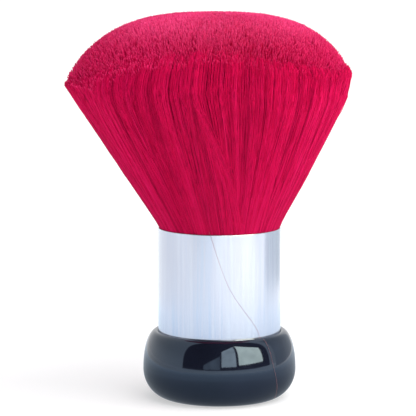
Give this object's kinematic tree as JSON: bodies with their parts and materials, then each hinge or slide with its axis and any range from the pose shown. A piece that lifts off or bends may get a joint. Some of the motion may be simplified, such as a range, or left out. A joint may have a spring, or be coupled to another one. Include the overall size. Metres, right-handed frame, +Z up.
{
  "type": "neck duster brush",
  "caption": "Standing neck duster brush: glossy cup-shaped base, thin metal ferrule and a wide domed fibre bundle that flexes at its root.",
  "frame": {"origin": "centre of the flat underside that the brush stands on, on the axis of the base and the ferrule", "axes": "+Z up along the ferrule towards the bristles, +X to the right and +Y to the back as it stands, with the bundle leaning slightly towards -X"},
  "size_m": [0.0879, 0.0878, 0.1195],
  "materials": {
    "base": "high gloss black, moulded",
    "disc": "thin black felt",
    "fastener": "zinc plated",
    "ferrule": "pale satin, faintly blue, fine lines along the tube",
    "plug": "turned beech, unvarnished",
    "resin": "cured amber resin",
    "binding": "waxed thread",
    "fibre": "fine crimson synthetic fibre, slightly glossy, paler at the cut ends"
  },
  "bodies": {
    "handle": {"base_cup": "base", "base_disc": "disc", "fixing_screw": "fastener", "screw_washer": "fastener", "ferrule": "ferrule", "ferrule_plug": "plug", "resin_plug": "resin", "root_binding": "binding", "bristle_heel": "fibre"},
    "belly": {"bristle_belly": "fibre"},
    "toe": {"bristle_toe": "fibre"}
  },
  "joints": [
    {"name": "bundle_lean_front_back", "type": "hinge", "parent": "handle", "child": "belly", "pos_m": [0, 0, 0.0491], "axis": [1, 0, 0], "range_deg": [-15, 15], "stiffness_Nm_per_rad": 0.2},
    {"name": "bundle_lean_left_right", "type": "hinge", "parent": "belly", "child": "toe", "pos_m": [-0.0017, 0, 0.0731], "axis": [0, 1, 0], "range_deg": [-15, 15], "stiffness_Nm_per_rad": 0.1}
  ]
}
